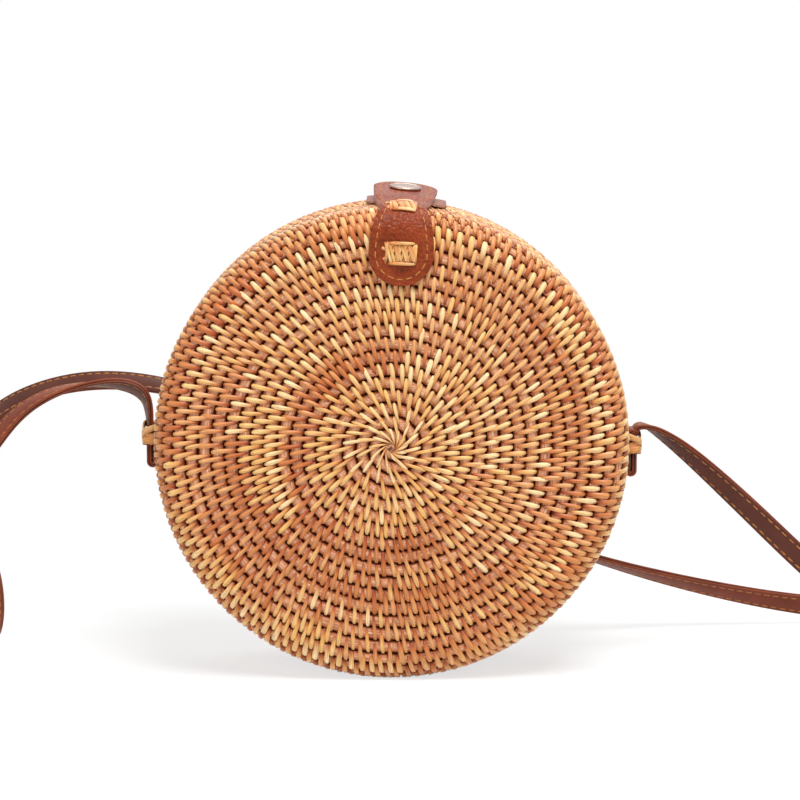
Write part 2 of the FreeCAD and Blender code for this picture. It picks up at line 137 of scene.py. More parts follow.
def finish(name, **sockets):
    """New material, its node tree and its shader, with the shader's plain sockets set."""
    material = bpy.data.materials.new(name)
    material.use_nodes = True
    tree = material.node_tree
    shader = tree.nodes["Principled BSDF"]
    for socket, value in sockets.items():
        shader.inputs[socket.replace("_", " ").title().replace("Ior", "IOR")].default_value = value
    return material, tree, shader


def add(tree, kind, links=(), **settings):
    """Node of this kind with its settings; links are (input, value or output)."""
    made = tree.nodes.new("ShaderNode" + kind)
    for setting, value in settings.items():
        setattr(made, setting, value)
    for socket, value in links:
        if isinstance(value, bpy.types.NodeSocket):
            tree.links.new(value, made.inputs[socket])
        else:
            made.inputs[socket].default_value = value
    return made


def ramp(tree, value, *stops):
    """Colour that goes with a value from stop to stop, each a place and a hex colour or a grey."""
    made = add(tree, "ValToRGB", [("Fac", value)])
    while len(made.color_ramp.elements) < len(stops):
        made.color_ramp.elements.new(1)
    for element, (position, colour) in zip(made.color_ramp.elements, stops):
        element.position = position
        element.color = linear(colour) if isinstance(colour, str) else (colour, colour, colour, 1)
    return made.outputs["Color"]


def multiply(tree, first, second):
    """Product of two colours."""
    product = add(tree, "Mix", [("Factor", 1.0), ("A", first), ("B", second)],
                  data_type="RGBA", blend_type="MULTIPLY")
    return product.outputs[2]


def noise(tree, size, detail):
    """Noise all over an object, with lumps of about this size."""
    spot = add(tree, "TexCoord")
    lumps = [("Vector", spot.outputs["Object"]), ("Scale", 1 / size), ("Detail", detail)]
    return add(tree, "TexNoise", lumps).outputs["Fac"]


def span(tree, value, start, end, low=0.0, high=1.0):
    """Value that goes from low to high while another goes from start to end."""
    ends = [("From Min", start), ("From Max", end), ("To Min", low), ("To Max", high)]
    return add(tree, "MapRange", [("Value", value)] + ends).outputs["Result"]


def paint(shader, value, socket="Base Color"):
    """Link a value of the node tree to a socket of its shader."""
    shader.id_data.links.new(value, shader.inputs[socket])


def emboss(tree, shader, height, depth, strength, **settings):
    """Fine relief on a shader, from a height of 0 to 1."""
    relief = add(tree, "Bump", [("Height", height), ("Distance", depth), ("Strength", strength)], **settings)
    paint(shader, relief.outputs["Normal"], "Normal")


def thicken(piece, name, thickness, offset=0):
    """Modifier that gives a sheet its thickness."""
    made = piece.modifiers.new(name, "SOLIDIFY")
    made.thickness = thickness
    made.offset = offset
    return made


def carried(tree, name):
    """Parts X, Y and Z of a value that the points of a mesh carry."""
    value = add(tree, "Attribute", attribute_name=name)
    return add(tree, "SeparateXYZ", [("Vector", value.outputs["Vector"])])


def start_mesh(value):
    """Empty bmesh and the layer of a value that its points carry for their material."""
    bm = bmesh.new()
    return bm, bm.verts.layers.float_vector.new(value)


def close_up(bm, weld=weld_gap, outward=None):
    """The bmesh with its touching points welded and its faces turned out, or mostly towards a given way."""
    if weld:
        bmesh.ops.remove_doubles(bm, verts=bm.verts, dist=weld)
    bm.normal_update()
    bmesh.ops.recalc_face_normals(bm, faces=bm.faces)
    if outward and sum(face.normal.dot(outward) * face.calc_area() for face in bm.faces) < 0:
        bmesh.ops.reverse_faces(bm, faces=bm.faces)
    return bm


def wind_bowl(facing):
    """Spiral ridge of the coil from the disc's middle to the mouth."""
    bm, weave = start_mesh("weave")
    rows = coil_turns + 1
    steps = len(coil_steps)
    bmesh.ops.create_grid(bm, x_segments=bowl_segments, y_segments=steps * rows, size=0.5)
    for vert in bm.verts:
        share = vert.co.x + 0.5
        row = round((vert.co.y + 0.5) * rows * steps)
        turn = row // steps - 1
        across = coil_steps[row % steps]
        inner = min(max(coil_pitch * (turn + share), 0), wall_end)
        outer = min(max(coil_pitch * (turn + 1 + share), 0), wall_end)
        edge = abs(2 * across - 1)
        groove = coil_groove * (outer - inner) / coil_pitch
        length = inner + across * (outer - inner)
        angle = seam_angle + math.tau * share
        lift = -coil_sink - groove * (1 - math.sqrt(max(1 - edge * edge, 0)))
        # the third value is the place across the coil, which the grass's painted groove shade reads
        vert[weave] = (length / mm, angle, edge)
        vert.co = on_bowl(length, angle, lift, facing)
    bmesh.ops.remove_doubles(bm, verts=bm.verts, dist=weld_gap)
    bmesh.ops.dissolve_degenerate(bm, edges=bm.edges, dist=weld_gap)
    return close_up(bm, weld=0, outward=(0, -facing, 0))


def wind_mouth(facing):
    """Round coil that closes the mouth."""
    bm, weave = start_mesh("weave")
    core = mouth_radius - coil_sink
    across = Vector((0, -facing * (mouth_depth - mouth_radius), bag_radius - mouth_radius))
    section = bmesh.ops.create_circle(bm, segments=mouth_sides, radius=core)["verts"]
    bmesh.ops.rotate(bm, verts=section, cent=(0, 0, 0), matrix=Matrix.Rotation(math.pi / 2, 3, "Y"))
    bmesh.ops.translate(bm, verts=section, vec=across)
    bmesh.ops.spin(bm, geom=bm.verts[:] + bm.edges[:], cent=(0, 0, 0), axis=(0, 1, 0), angle=math.tau,
                   steps=mouth_segments, use_merge=True)
    bmesh.ops.remove_doubles(bm, verts=bm.verts, dist=coarse_weld)
    bmesh.ops.translate(bm, verts=bm.verts, vec=(0, 0, axis_height))
    for vert in bm.verts:
        angle = math.atan2(vert.co.z - axis_height, vert.co.x)
        vert[weave] = (vert.co.y / mm, angle, mouth_shade)
        vert.co.z = max(vert.co.z, 0)
    bmesh.ops.recalc_face_normals(bm, faces=bm.faces)
    return bm


# Dried grass bundle: matt, pinkish tan, with fine stalks along the coil; painted shade makes it nearly black
# down in the grooves
grass, tree, shader = finish("dried_grass_bundle", roughness=0.75, specular_ior_level=0.15)
stalk_width = 0.45
parts = carried(tree, "weave")
stalks = add(tree, "CombineXYZ", [("X", parts.outputs["X"]), ("Y", parts.outputs["Y"])])
stretch = add(tree, "Mapping", [("Vector", stalks.outputs["Vector"]), ("Scale", (1 / stalk_width, 9.0, 1.0))])
grain = add(tree, "TexNoise", [("Vector", stretch.outputs["Vector"]), ("Scale", 1.0), ("Detail", 3.0)])
tone = ramp(tree, grain.outputs["Fac"], (0.3, "#A36A4A"), (0.5, "#CC9878"), (0.68, "#E8C3A2"))
# painted shade: each coil darkens towards its edges and goes nearly black down in the grooves
depth = ramp(tree, parts.outputs["Z"], (0.0, "#FFFFFF"), (0.55, "#F4D8C4"), (0.8, "#A86A48"),
             (0.93, "#2A0A04"))
paint(shader, multiply(tree, tone, depth))
emboss(tree, shader, grain.outputs["Fac"], 0.25 * mm, 0.8)

for half, facing in bowls:
    bowl = place_piece(wind_bowl(facing), half + "_coil", grass, half + "_half")
    thicken(bowl, "wall", wall_thickness, offset=-1)
    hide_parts(half + "_shell")
    mouth = place_piece(wind_mouth(facing), half + "_mouth_ring", grass, half + "_half")
    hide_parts(half + "_mouth_coil")

# Binding: strips of split rattan sew each turn of the coil to the turn before. A stitch starts at its own
# turn's outer edge, passes between two stitches of the last turn and dives into that turn's middle, a
# little aslant. Past the rim the stitches are fuller and hardly taper.
stitch_width = 2.2 * mm
stitch_thickness = 1.1 * mm
stitch_turns_share = 2.08
stitch_taper = 0.34
wall_turn = 15
wall_fullness = 1.2
wall_taper = 0.12
stitch_slant = math.tan(math.radians(8.5))
eye_slant = 0.35
stitch_dive = 1.45 * mm
first_turn_stitches = 13
spreading_turns = 12
last_added_turn = 18
widest_circle = disc_end + 8 * mm
inner_spacing = 4.3 * mm
outer_spacing = 5.05 * mm
eye_radius = 0.9 * mm
noise_span = 40
shade_run = (7, 30)
shade_spread = 0.14
inner_turns = 6
shades = {"russet": 0.14, "brown": 0.32, "honey": 0.5, "gold": 0.68, "straw": 0.86}
inner_mix = ["straw"] * 5 + ["honey"] * 3 + ["gold"] * 4 + ["brown"]
outer_mix = ["straw"] * 3 + ["honey"] * 5 + ["gold"] * 4 + ["brown"] * 4 + ["russet"] * 2


def pill_mesh(segments):
    """Closed six-sided strip with rounded ends, 2 long along Z and 1 in half-width."""
    bm = bmesh.new()
    bmesh.ops.create_uvsphere(bm, u_segments=6, v_segments=segments, radius=1)
    for vert in bm.verts:
        girth = math.hypot(vert.co.x, vert.co.y)
        if girth > 0.01:
            full = math.sqrt(1 - vert.co.z ** 8)
            vert.co.x *= full / girth
            vert.co.y *= full / girth
    mesh = bpy.data.meshes.new("strip")
    bm.to_mesh(mesh)
    bm.free()
    return mesh


def lay_strip(bm, pill):
    """Points of one more strip that is put into a bmesh."""
    start = len(bm.verts)
    bm.from_mesh(pill)
    bm.verts.ensure_lookup_table()
    return bm.verts[start:]


def turn_angles(rng):
    """Angles of each turn's stitches; every stitch sits between two of the last turn, and some are added."""
    turns = [[math.tau * index / first_turn_stitches for index in range(first_turn_stitches)]]
    for turn in range(1, coil_turns + 1):
        length = coil_pitch * (turn + 0.5)
        radius = min(length, widest_circle)
        last = turns[-1]
        spacing = inner_spacing + (outer_spacing - inner_spacing) * min(turn / spreading_turns, 1)
        wanted = max(round(math.tau * radius / spacing), len(last))
        if turn > last_added_turn:
            wanted = len(last)
        gaps = [(last[(index + 1) % len(last)] - angle) % math.tau + rng.uniform(0, 0.25) / len(last)
                for index, angle in enumerate(last)]
        widest = sorted(range(len(last)), key=lambda index: -gaps[index])
        split = set(widest[:wanted - len(last)])
        swirl = stitch_slant * coil_pitch / radius
        angles = []
        for index, angle in enumerate(last):
            ahead = last[(index + 1) % len(last)] + (math.tau if index + 1 == len(last) else 0)
            gap = ahead - angle
            for share in ((0.28, 0.72) if index in split else (0.5,)):
                angles.append(angle + gap * share + swirl)
        for _ in range(3):
            before = [angles[-1] - math.tau] + angles[:-1]
            after = angles[1:] + [angles[0] + math.tau]
            angles = [0.5 * a + 0.25 * (b + c) for a, b, c in zip(angles, before, after)]
        turns.append(angles)
    return turns


def sew_bowl(facing, seed):
    """All the stitches of one bowl; each carries its strand's shade."""
    rng = random.Random(seed)
    bm, strand = start_mesh("strand")
    short_pill = pill_mesh(7)
    long_pill = pill_mesh(12)
    run = 0
    shade = shades["straw"]
    for turn, angles in enumerate(turn_angles(rng)):
        at_mouth = turn == coil_turns
        for angle in angles:
            if run == 0:
                run = rng.randint(*shade_run)
                shade = shades[rng.choice(inner_mix if turn < inner_turns else outer_mix)]
            run -= 1
            share = ((angle - seam_angle) / math.tau) % 1
            outer = min(coil_pitch * (turn + 1 + share), wall_end) + 0.06 * coil_pitch
            inner = max(outer - stitch_turns_share * coil_pitch * rng.uniform(0.93, 1.04), eye_radius)
            if not at_mouth and coil_pitch * (turn + share) > wall_end - 0.4 * coil_pitch:
                continue
            if at_mouth:
                inner = wall_end - 0.75 * coil_pitch
                outer = mouth_start + mouth_radius * math.pi * 0.95
            middle = (inner + outer) / 2
            half_width = 0.5 * stitch_width * rng.uniform(0.86, 1.08) * min(1, 0.62 + turn / 10)
            narrowing = stitch_taper
            if turn > wall_turn:
                half_width *= wall_fullness
                narrowing = wall_taper
            tilt = stitch_slant * rng.uniform(0.6, 1.4) + eye_slant * max(1 - turn / 4, 0)
            tone = min(max(shade + rng.uniform(-shade_spread, shade_spread), 0), 1)
            marker = rng.random()
            crown = -0.5 * stitch_thickness - rng.uniform(0, 0.12) * mm
            for vert in lay_strip(bm, long_pill if at_mouth else short_pill):
                along = vert.co.z
                length = middle + along * (outer - inner) / 2
                radius = max(min(length, bag_radius), 1.5 * mm)
                taper = 1 - narrowing * max(0.2 - along, 0) / 1.2
                sideways = tilt * (length - middle) + vert.co.x * half_width * taper
                dive = stitch_dive * (along ** 8 if along > 0 else along ** 4)
                lift = crown - dive + 0.5 * stitch_thickness * vert.co.y
                vert[strand] = (tone, along, noise_span * marker + vert.co.x * half_width / mm)
                vert.co = on_bowl(length, angle + sideways / radius, lift, facing)
    return bm


# Split rattan: the glossy skin of the cane, from pale straw to russet by the strand, streaked along it
rattan, tree, shader = finish("split_rattan", roughness=0.36, specular_ior_level=0.35)
fibre_width = 0.45
parts = carried(tree, "strand")
tone = ramp(tree, parts.outputs["X"], (0.0, "#BC6A34"), (0.3, "#CE8A52"), (0.5, "#DCA66E"), (0.7, "#E1AF66"),
            (1.0, "#F0D4A2"))
fibres = add(tree, "Math", [(0, parts.outputs["Z"]), (1, 1 / fibre_width)], operation="MULTIPLY")
grain = add(tree, "CombineXYZ", [("X", fibres.outputs["Value"]), ("Y", parts.outputs["Y"])])
mottle = add(tree, "TexNoise", [("Vector", grain.outputs["Vector"]), ("Scale", 1.0), ("Detail", 2.0)])
streak = ramp(tree, mottle.outputs["Fac"], (0.3, 0.68), (0.52, 1.0), (0.72, 1.12))
# painted shade: each strip darkens towards the end where it dives under the coil or the leather, nearly black
# at that tip
ends = span(tree, parts.outputs["Y"], -1.0, 1.0)
painted_end_shade = ramp(tree, ends, (0.0, "#4A1E0C"), (0.08, "#B06C40"), (0.3, "#EBCDB6"), (0.65, "#FFFFFF"),
            (1.0, "#FFFFFF"))
paint(shader, multiply(tree, multiply(tree, tone, streak), painted_end_shade))
emboss(tree, shader, mottle.outputs["Fac"], 0.12 * mm, 0.6)

for (half, facing), seed in zip(bowls, (4, 9)):
    place_piece(sew_bowl(facing, seed), half + "_binding", rattan, half + "_half")

# Lining: plain cotton, cut as a disc and a band, sewn together and stretched over the inside of each bowl.
# Its edge is turned under into a hem just below the mouth coil.
lining_lift = -4.85 * mm
lining_thickness = 0.5 * mm
lining_end = wall_end - 1.6 * mm
lining_hem = 5 * mm
lining_ripple = 0.12 * mm
hem_thickness = 0.25 * mm


def line_bowl(facing):
    """Cotton bowl with faint ripples and a thicker hem."""
    bm, cloth = start_mesh("cloth")
    bmesh.ops.create_grid(bm, x_segments=120, y_segments=44, size=0.5)
    for vert in bm.verts:
        angle = math.tau * vert.co.x
        length = lining_end * (vert.co.y + 0.5)
        ripple = lining_ripple * math.sin(9 * angle + 40 * length) * min(length / bag_radius, 1)
        hem = hem_thickness if length > lining_end - lining_hem else 0
        vert[cloth] = (length * math.cos(angle) / mm, length * math.sin(angle) / mm, 0)
        vert.co = on_bowl(length, angle, lining_lift - ripple - hem, facing)
    return close_up(bm, outward=(0, facing, 0))


# Plain-woven cotton: soft and matt; its threads are drawn at 0.9 mm, coarser than real, so that they show
cotton, tree, shader = finish("plain_cotton", roughness=0.9, sheen_weight=0.2)
thread_spacing = 0.9
wave_length = 0.32
cloth = add(tree, "Attribute", attribute_name="cloth")
wave = [("Vector", cloth.outputs["Vector"]), ("Scale", wave_length / thread_spacing)]
warp = add(tree, "TexWave", wave)
weft = add(tree, "TexWave", wave, bands_direction="Y")
threads = add(tree, "Math", [(0, warp.outputs["Fac"]), (1, weft.outputs["Fac"])], operation="MULTIPLY")
tone = ramp(tree, threads.outputs["Value"], (0.0, "#B9A88A"), (0.8, "#DCCFB4"))
paint(shader, tone)
emboss(tree, shader, threads.outputs["Value"], 0.2 * mm, 0.5)

for half, facing in bowls:
    lining = place_piece(line_bowl(facing), half + "_cotton", cotton, half + "_half")
    thicken(lining, "cloth", lining_thickness)
    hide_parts(half + "_lining")

# Hinge lacings: four strips of split rattan wound side by side round both mouth coils, on each side of the
# bottom. They are the bag's only hinge.
lacing_turn = math.radians(17.3)
lacing_strip = 1.85 * mm
lacing_pitch = 2.05 * mm
lacing_strips = 4
lacing_thickness = 0.6 * mm
lacing_squareness = 0.6
lacing_half_depth = mouth_depth + 0.55 * mm
lacing_half_height = mouth_radius + 0.6 * mm


def squarish(angle, power):
    """Cosine and sine of an angle for a loop that is squarer than a circle."""
    cos, sin = math.cos(angle), math.sin(angle)
    return math.copysign(abs(cos) ** power, cos), math.copysign(abs(sin) ** power, sin)


def lace(turn):
    """Four flat loops round both coils, turned about the bag's axis from the bottom."""
    bm, strand = start_mesh("strand")
    for number in range(lacing_strips):
        made = bmesh.ops.create_grid(bm, x_segments=32, y_segments=2, size=0.5)["verts"]
        offset = (number - (lacing_strips - 1) / 2) * lacing_pitch
        for vert in made:
            y_share, z_share = squarish(math.tau * vert.co.x, lacing_squareness)
            sideways = offset + vert.co.y * lacing_strip
            crown = 1 - 0.05 * (2 * vert.co.y) ** 2
            reach = bag_radius - mouth_radius - lacing_half_height * crown * z_share
            angle = seam_angle + turn + sideways / bag_radius
            y = lacing_half_depth * crown * y_share
            vert[strand] = (0.55 + 0.06 * number, 0.5 * y_share, 0.1 * number)
            vert.co = (reach * math.cos(angle), y, axis_height + reach * math.sin(angle))
    return close_up(bm)


for side_name, turn in (("left", -lacing_turn), ("right", lacing_turn)):
    lacing = place_piece(lace(turn), side_name + "_hinge_cane", rattan, None)
    thicken(lacing, "strip", lacing_thickness)
    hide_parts(side_name + "_hinge_lacing")
    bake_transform(lacing)

# Closure tab: one strip of grained cowhide. Its rounded front end is tied to the disc with rattan, it folds
# over the rim, is tied again on top, and its free rear end, which carries the snap's cap, reaches back over
# the mouth.
leather = 1.6 * mm
leather_seat = 0.15 * mm
tab_turn = math.radians(2.8)
tab_tip = bag_radius - 32 * mm
tab_hinge_y = -14 * mm
hinge_along = rim_end + half_depth - rim_rounding + tab_hinge_y - tab_tip
flap_end_y = 25 * mm
tab_end = hinge_along + flap_end_y - tab_hinge_y
tip_radius = 13.5 * mm
flap_corner = 12.3 * mm
flap_rise = 1.75 * mm
flap_slope = math.tan(math.radians(5.8))
flap_roll = math.radians(2.2)
flap_sway = 1.0 * mm
flap_bend_y = tab_hinge_y - 1 * mm
flap_clear_y = -7.5 * mm
flap_slope_y = -8.5 * mm
tab_waist = [(0, 13.5), (16, 13.4), (21, 12.9), (24.3, 12.3), (27.5, 11.5), (31, 10.2), (34, 9.9), (39, 10.4),
             (60, 12.7), (90, 14.4)]


def smooth_step(value, low, high):
    """Smooth rise from 0 to 1 between two values."""
    share = min(max((value - low) / (high - low), 0), 1)
    return share * share * (3 - 2 * share)


def faired(points, value):
    """Value on a smooth curve through a table of points."""
    last = len(points) - 1
    index = max(min(sum(place <= value for place, _ in points) - 1, last - 1), 0)
    slopes = []
    for middle in (index, index + 1):
        before, after = points[max(middle - 1, 0)], points[min(middle + 1, last)]
        slopes.append((after[1] - before[1]) / (after[0] - before[0]))
    (low, first), (high, second) = points[index], points[index + 1]
    step = high - low
    share = (value - low) / step
    rest = 1 - share
    return (first * rest * rest * (1 + 2 * share) + second * share * share * (1 + 2 * rest)
            + step * share * rest * (slopes[0] * rest - slopes[1] * share))


def tab_half_width(along, inset=0):
    """Half the tab's width at a distance from its tip, or that of a line at an inset from its edge."""
    half = faired(tab_waist, along / mm) * mm - inset
    if along < tip_radius:
        half = math.sqrt(max((tip_radius - inset) ** 2 - (tip_radius - along) ** 2, 0))
    left = tab_end - along
    if left < flap_corner:
        rounded = math.sqrt(max((flap_corner - inset) ** 2 - (flap_corner - left) ** 2, 0))
        half += rounded - flap_corner + inset
    return half


def swing(x, y, height, turn):
    """Point at a height over the bag's axis, swung aside about it from the top."""
    across = x * math.cos(turn) + height * math.sin(turn)
    up = height * math.cos(turn) - x * math.sin(turn)
    return Vector((across, y, axis_height + up))


def on_tab(x, along, lift):
    """Point over the tab's underside, by its place across and along the leather and its height off it."""
    if along < hinge_along:
        radius, depth, lean = bowl_profile(tab_tip + along)
        curl = math.sin(lean)
        lift += leather_seat
    else:
        y = tab_hinge_y + along - hinge_along
        radius, depth, lean = bag_radius, -y, math.pi / 2
        curl = 1 - 0.6 * smooth_step(y, tab_hinge_y, flap_end_y)
        raised = smooth_step(y, flap_bend_y, flap_clear_y)
        lift += leather_seat + raised * (flap_rise + (y - flap_slope_y) * flap_slope
                                         - x * math.tan(flap_roll))
        x += flap_sway * smooth_step(y, tab_hinge_y, flap_end_y)
    radius += lift * math.sin(lean)
    depth += lift * math.cos(lean)
    height = radius - curl * (bag_radius - math.sqrt(bag_radius ** 2 - x ** 2))
    return swing(x, -depth, height, tab_turn)


def normal_on(surface, x, along):
    """Outward normal of a mapped piece of leather."""
    step = 0.2 * mm
    way_x = surface(x + step, along, leather) - surface(x - step, along, leather)
    way_along = surface(x, along + step, leather) - surface(x, along - step, leather)
    return way_x.cross(way_along).normalized()


def cut_leather(surface, half_width, length, round_start, round_end, thickness):
    """Leather cut to a width along its length and laid on a surface, with close rows at its rounded ends."""
    bm, hide_place = start_mesh("hide")
    bmesh.ops.create_grid(bm, x_segments=14, y_segments=72, size=0.5)
    for vert in bm.verts:
        share = vert.co.y + 0.5
        along = round_start + (length - round_start - round_end) * (share - 0.2) / 0.65
        if share < 0.2:
            along = round_start * (1 - math.cos(share / 0.2 * math.pi / 2))
        if share > 0.85:
            along = length - round_end * (1 - math.cos((1 - share) / 0.15 * math.pi / 2))
        x = 2 * vert.co.x * half_width(along)
        vert[hide_place] = (x / mm, along / mm, abs(2 * vert.co.x))
        vert.co = surface(x, along, thickness)
    return close_up(bm, weld=coarse_weld, outward=(0, 0, 1))


def dress_leather(piece, thickness):
    """Thickness, softened corners and pale cut edge, partly a painted highlight, of a piece of leather."""
    piece.data.materials.append(cut_edge)
    thick = thicken(piece, "hide", thickness, offset=-1)
    thick.material_offset_rim = 1
    soft = piece.modifiers.new("edge", "BEVEL")
    soft.width = 0.3 * mm
    soft.segments = 2
    soft.limit_method = "ANGLE"
    soft.angle_limit = math.radians(50)


def sew_line(line, length, pitch, radius, flat=0.8):
    """Row of thread stitches along a line of (point, normal)."""
    bm = bmesh.new()
    pill = pill_mesh(5)
    travelled = [0]
    for (last, _), (point, _) in zip(line, line[1:]):
        travelled.append(travelled[-1] + (point - last).length)

    def at(distance):
        index = 0
        while index < len(travelled) - 2 and travelled[index + 1] < distance:
            index += 1
        step = max(travelled[index + 1] - travelled[index], 1e-9)
        share = min(max((distance - travelled[index]) / step, 0), 1)
        return line[index][0].lerp(line[index + 1][0], share), line[index][1].lerp(line[index + 1][1], share)

    count = int(travelled[-1] / pitch)
    for number in range(count):
        begin = (number + 0.5) * travelled[-1] / count - length / 2
        for vert in lay_strip(bm, pill):
            along = vert.co.z
            point, normal = at(begin + (along + 1) / 2 * length)
            ahead, _ = at(begin + (along + 1) / 2 * length + 0.2 * mm)
            behind, _ = at(begin + (along + 1) / 2 * length - 0.2 * mm)
            side = (ahead - behind).normalized().cross(normal).normalized()
            sunk = 0.7 * radius * abs(along) ** 4
            vert.co = point + side * (vert.co.x * radius) + normal * (vert.co.y * radius * flat - sunk)
    bmesh.ops.recalc_face_normals(bm, faces=bm.faces)
    return bm


# Grained cowhide: chestnut, with pebbled grain about 1 mm across, painted shade in its hollows, and glossier
# on top
cowhide, tree, shader = finish("grained_cowhide", specular_ior_level=0.13)
grain_size = 1.1 * mm
spot = add(tree, "TexCoord")
cells = add(tree, "TexVoronoi", [("Vector", spot.outputs["Object"]), ("Scale", 1 / grain_size)],
            feature="SMOOTH_F1")
pebbles = cells.outputs["Distance"]
tone = ramp(tree, noise(tree, 7 * mm, 3.0), (0.3, "#783014"), (0.7, "#903D1E"))
# painted shade: darker in the hollows between the pebbles, a touch lighter on their tops
pebble_hollow_shade = ramp(tree, pebbles, (0.25, 1.04), (0.75, 0.68))
paint(shader, multiply(tree, tone, pebble_hollow_shade))
paint(shader, span(tree, pebbles, 0.0, 1.0, 0.26, 0.46), "Roughness")
emboss(tree, shader, pebbles, 0.5 * mm, 1.0, invert=True)

# Cut edge of the hide: fibrous and matt, pale partly as raw leather and partly as a painted highlight along
# the edge
cut_edge, tree, shader = finish("raw_edge_with_painted_highlight", roughness=0.8)
# the pale end of this ramp is partly a painted highlight along the edge
tone = ramp(tree, noise(tree, 0.8 * mm, 2.0), (0.35, "#8A5640"), (0.65, "#CBA48E"))
paint(shader, tone)

# Waxed ochre thread
thread, tree, shader = finish("waxed_thread", roughness=0.6)
tone = ramp(tree, noise(tree, 0.5 * mm, 1.0), (0.35, "#8A4E16"), (0.65, "#BE7E2E"))
paint(shader, tone)

# The tab lies on the front half up to its hinge line
tab_cut = cut_leather(on_tab, tab_half_width, tab_end, tip_radius, flap_corner, leather)
tab = place_piece(tab_cut, "tab_leather_strip", cowhide, None)
dress_leather(tab, leather)
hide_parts("closure_tab", "tab_flap")
hinge_point = on_tab(0, hinge_along, leather)
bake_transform(tab)

# Ochre saddle stitches run round the tab, 2.8 mm in from its edge
seam_inset = 2.8 * mm
tab_stitch = 3.0 * mm
tab_stitch_pitch = 3.9 * mm
tab_thread_radius = 0.3 * mm
seam_points = []
seam_rows = 90
for row in range(seam_rows + 1):
    along = seam_inset + (tab_end - 2 * seam_inset) * (1 + math.cos(math.pi * row / seam_rows)) / 2
    seam_points.append((tab_half_width(along, seam_inset), along))
seam_points += [(-half, along) for half, along in reversed(seam_points[:-1])]
seam_points.append(seam_points[0])
seam_line = [(on_tab(x, along, leather), normal_on(on_tab, x, along)) for x, along in seam_points]
tab_sewing = sew_line(seam_line, tab_stitch, tab_stitch_pitch, tab_thread_radius)
tab_seam = place_piece(tab_sewing, "tab_seam", thread, None)
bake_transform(tab_seam)

# Rattan ties: a split strand is passed through the leather and the weave many times, so that it makes a
# close row of crosses between two bars. Its ends are left loose beside the row.
tie_strip = 1.35 * mm
tie_thickness = 0.75 * mm
tie_spread = 0.55 * mm


def cross_ties(surface, centre, width, height, thickness, crosses, seed):
    """Crossed strips between two bars, centred at a distance along the leather."""
    rng = random.Random(seed)
    bm, strand = start_mesh("strand")
    pill = pill_mesh(9)
    bar = height / 2 - 0.4 * tie_strip
    step = (width - tie_strip) / crosses
    left = (tie_strip - width) / 2
    runs = []
    for index in range(crosses):
        near = left + index * step
        for aside in (-tie_spread, tie_spread):
            runs.append(((near + aside, -bar), (near + step + aside, bar), 0.45))
            runs.append(((near + aside, bar), (near + step + aside, -bar), 0.95))
    for edge in (-bar, bar):
        runs.append(((left, edge), (0.4 * width, edge), 1.2))
        runs.append(((-0.35 * width, edge), (-left, edge), 1.3))
    for edge in (-1, 1):
        runs.append(((edge * left, -bar), (edge * left, bar), 0.7))
    runs.append(((left, 0.3 * bar), (left - 2.2 * mm, 0.55 * bar), 0.2))
    runs.append(((left, -0.35 * bar), (left - 1.6 * mm, -0.6 * bar), 0.2))
    for (x0, y0), (x1, y1), layer in runs:
        shift = [rng.uniform(-0.5, 0.5) * mm for _ in range(4)]
        x0, y0, x1, y1 = x0 + shift[0], y0 + shift[1], x1 + shift[2], y1 + shift[3]
        reach = math.hypot(x1 - x0, y1 - y0)
        side_x, side_y = (y1 - y0) / reach, (x0 - x1) / reach
        tone = rng.uniform(0.3, 0.85)
        marker = rng.random()
        for vert in lay_strip(bm, pill):
            share = (vert.co.z + 1) / 2
            off = 0.5 * tie_strip * vert.co.x
            x = x0 + (x1 - x0) * share + side_x * off
            along = centre + y0 + (y1 - y0) * share + side_y * off
            arch = layer * tie_thickness * (1 - abs(vert.co.z) ** 4)
            lift = thickness + arch + 0.5 * tie_thickness * vert.co.y
            vert[strand] = (tone, 0.75 * vert.co.z, noise_span * marker + vert.co.x * tie_strip / (2 * mm))
            vert.co = surface(x, along, lift)
    return close_up(bm, weld=0)


front_tie_along = bag_radius - 18.4 * mm - tab_tip
top_tie_along = disc_end + rim_rounding * math.radians(72) - tab_tip
for name, centre, width, height, node, seed in (
    ("tab_front_ties", front_tie_along, 13 * mm, 9.5 * mm, "tab_front_stitch", 3),
    ("tab_top_ties", top_tie_along, 11.5 * mm, 8.5 * mm, "tab_top_stitch", 8),
):
    crosses = cross_ties(on_tab, centre, width, height, leather, 4, seed)
    ties = place_piece(crosses, name, rattan, "front_half")
    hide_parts(node)

# Press snap: a plated brass cap with a rolled rim on top of the tab. Its socket, stud and post keep the
# shapes that they have in the frame.
snap_along = hinge_along + 9.5 * mm - tab_hinge_y
cap_outline = [(0, 1.25), (4.6, 1.22), (5.4, 1.1), (5.75, 1.02), (6.1, 1.2), (6.5, 1.25), (6.8, 1.0),
               (6.85, 0.6), (6.8, 0.2), (6.5, 0.05), (0, 0.05)]


def turn_cap():
    """Cap spun from its outline, upright at the origin."""
    bm = bmesh.new()
    verts = [bm.verts.new((radius * mm, 0, height * mm)) for radius, height in cap_outline]
    edges = [bm.edges.new(pair) for pair in zip(verts, verts[1:])]
    bmesh.ops.spin(bm, geom=verts + edges, cent=(0, 0, 0), axis=(0, 0, 1), angle=math.tau, steps=48,
                   use_merge=True)
    return close_up(bm)


# Nickel-plated brass: warm silver, polished, with faint wear in its gloss
nickel, tree, shader = finish("nickel_plated_brass", metallic=1.0, base_color=linear("#A58C7E"))
paint(shader, span(tree, noise(tree, 1.5 * mm, 3.0), 0.0, 1.0, 0.2, 0.38), "Roughness")

